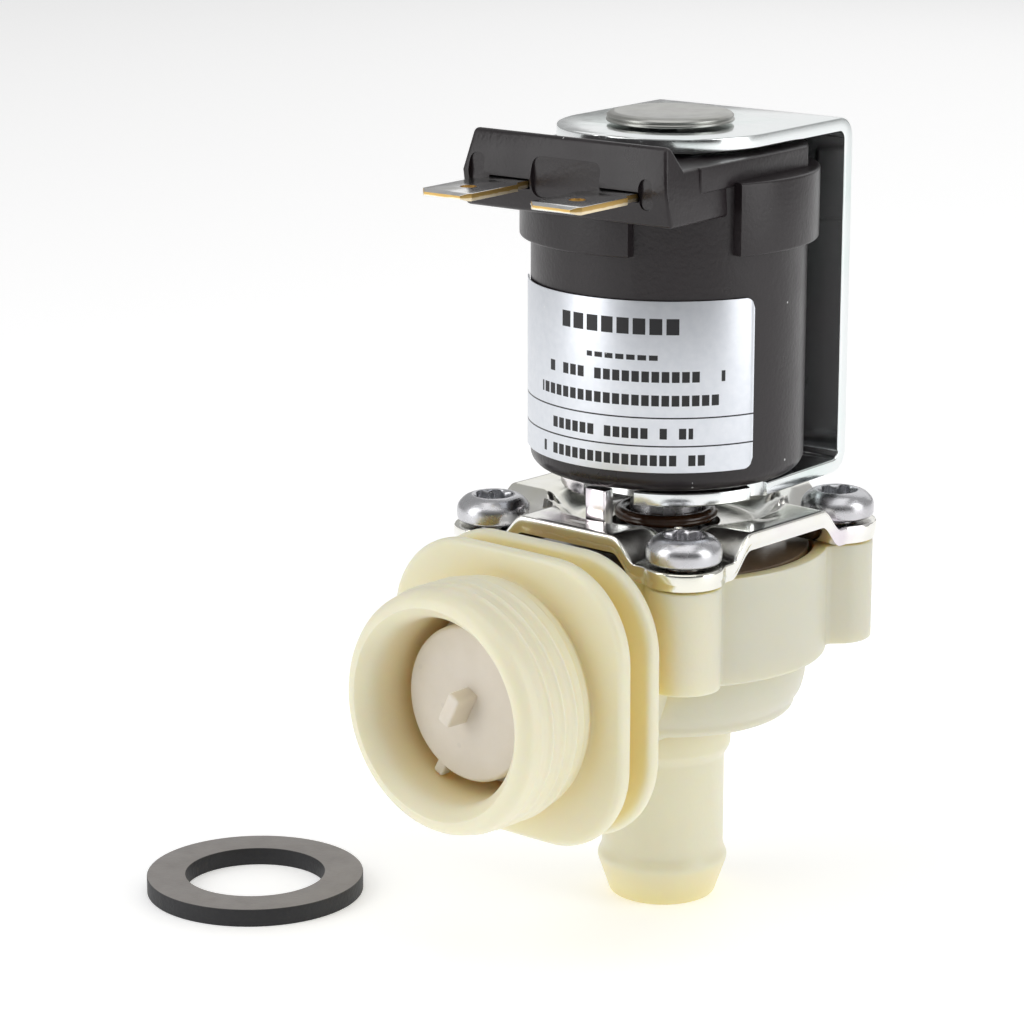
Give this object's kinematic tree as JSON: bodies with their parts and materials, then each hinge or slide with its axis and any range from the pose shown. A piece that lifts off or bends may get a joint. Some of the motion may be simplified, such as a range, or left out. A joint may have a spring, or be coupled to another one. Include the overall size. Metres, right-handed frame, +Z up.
{
  "type": "solenoid valve",
  "caption": "Water inlet solenoid valve with a threaded inlet union, a barbed outlet, a clamped cover plate and a clip-on coil held in a steel yoke.",
  "frame": {"origin": "centre of the inlet union's end face, where the valve is screwed on", "axes": "+Z up along the coil's axis, the inlet opens towards -Y, +X to the right seen from the inlet"},
  "size_m": [0.0632, 0.0601, 0.0869],
  "materials": {
    "cream_nylon": "moulded, slightly translucent, satin",
    "white_plastic": "moulded, translucent, matt",
    "brown_plastic": "moulded, glossy brown",
    "black_rubber": "matt moulded rubber",
    "brown_rubber": "smooth shiny rubber",
    "zinc_plate": "zinc plated, bright, faint blue and green tint",
    "yellow_zinc": "zinc plated and yellow passivated, shiny",
    "stainless_steel": "bright turned stainless steel",
    "magnetic_steel": "ground ferritic steel",
    "coil_plastic": "moulded, semi-gloss, near black",
    "bobbin_plastic": "moulded, matt",
    "copper_wire": "enamelled copper wire, close wound",
    "tinned_brass": "punched brass with tinned faces",
    "label_foil": "matt silver foil, printed in black"
  },
  "bodies": {
    "valve": {"valve_body": "cream_nylon", "regulator_cage": "white_plastic", "regulator_ring": "black_rubber", "inlet_strainer": "white_plastic", "bonnet": "brown_plastic", "cover_plate": "yellow_zinc", "cover_screw_front_left": "stainless_steel", "cover_screw_front_right": "stainless_steel", "cover_screw_rear_left": "stainless_steel", "cover_screw_rear_right": "stainless_steel", "guide_tube": "stainless_steel", "fixed_core": "magnetic_steel", "guide_o_ring": "brown_rubber", "retaining_cap": "stainless_steel"},
    "plunger": {"plunger": "magnetic_steel", "plunger_seal": "black_rubber", "plunger_spring": "stainless_steel"},
    "diaphragm_centre": {"diaphragm_insert": "white_plastic", "diaphragm": "black_rubber"},
    "coil": {"coil_bobbin": "bobbin_plastic", "coil_winding": "copper_wire", "coil_housing": "coil_plastic", "coil_label": "label_foil", "terminal_left": "tinned_brass", "terminal_right": "tinned_brass", "flux_bush_lower": "magnetic_steel", "flux_bush_upper": "magnetic_steel", "yoke_frame": "zinc_plate"},
    "gasket": {"union_gasket": "black_rubber"}
  },
  "joints": [
    {"name": "plunger_lift", "type": "slide", "parent": "valve", "child": "plunger", "axis": [0, 0, 1], "range_m": [0, 0.0033], "stiffness_N_per_m": 400, "springref_m": -0.004, "deforming": ["plunger_spring"]},
    {"name": "diaphragm_lift", "type": "slide", "parent": "valve", "child": "diaphragm_centre", "axis": [0, 0, 1], "range_m": [0, 0.0024], "deforming": ["diaphragm"]},
    {"name": "coil_swivel", "type": "hinge", "parent": "valve", "child": "coil", "pos_m": [0, 0.0373, 0.0312], "axis": [0, 0, 1], "range_deg": [-13, 5.5]},
    {"name": "gasket_lift", "type": "slide", "parent": "valve", "child": "gasket", "axis": [0, 0, 1], "range_m": [0, 0.06]}
  ],
  "couplings": [
    {"joint": "diaphragm_lift", "follows": "plunger_lift", "ratio": 0.7}
  ]
}
